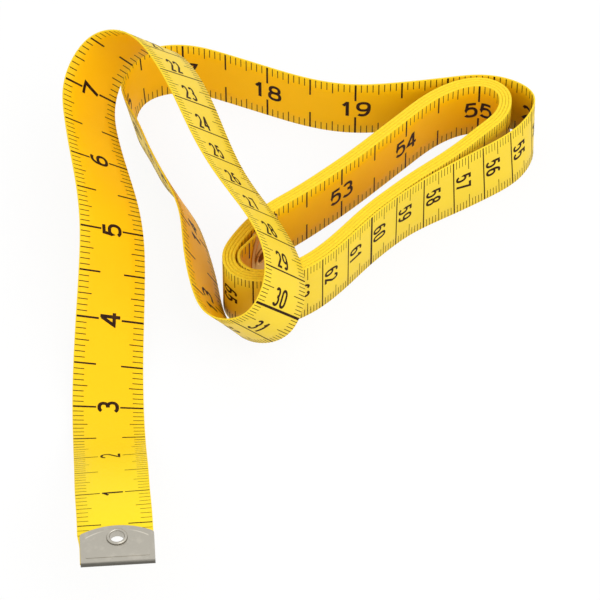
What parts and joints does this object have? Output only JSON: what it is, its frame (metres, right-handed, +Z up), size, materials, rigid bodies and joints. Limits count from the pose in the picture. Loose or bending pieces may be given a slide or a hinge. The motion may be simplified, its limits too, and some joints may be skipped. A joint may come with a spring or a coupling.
{
  "type": "tailor's tape measure",
  "caption": "Yellow tailor's cloth tape measure with metal-clipped ends, partly unwound: its free end curls up and the rest loops over and round into a long flat coil.",
  "frame": {"origin": "middle of the bounding box, on the table that the tape lies on", "axes": "+X to the right and +Y away from the viewer of the picture, +Z up; the free end points to -Y"},
  "size_m": [0.1277, 0.1888, 0.0435],
  "materials": {
    "tape": "satin vinyl coating on cloth",
    "metal": "satin nickel plate"
  },
  "bodies": {
    "wound_tape": {"tape_first_loop": "tape", "tape_back_run": "tape", "tape_coil": "tape", "far_end_clip": "metal", "far_end_eyelet": "metal"},
    "free_end": {"tape_free_end": "tape", "zero_end_clip": "metal", "zero_end_eyelet": "metal"}
  },
  "joints": [
    {"name": "free_end_flex", "type": "hinge", "parent": "wound_tape", "child": "free_end", "pos_m": [-0.0493, -0.02355, 0.0016], "axis": [-0.9923, -0.0493, 0.1137], "range_deg": [-8, 60], "stiffness_Nm_per_rad": 0.02, "springref_deg": 3.04}
  ]
}
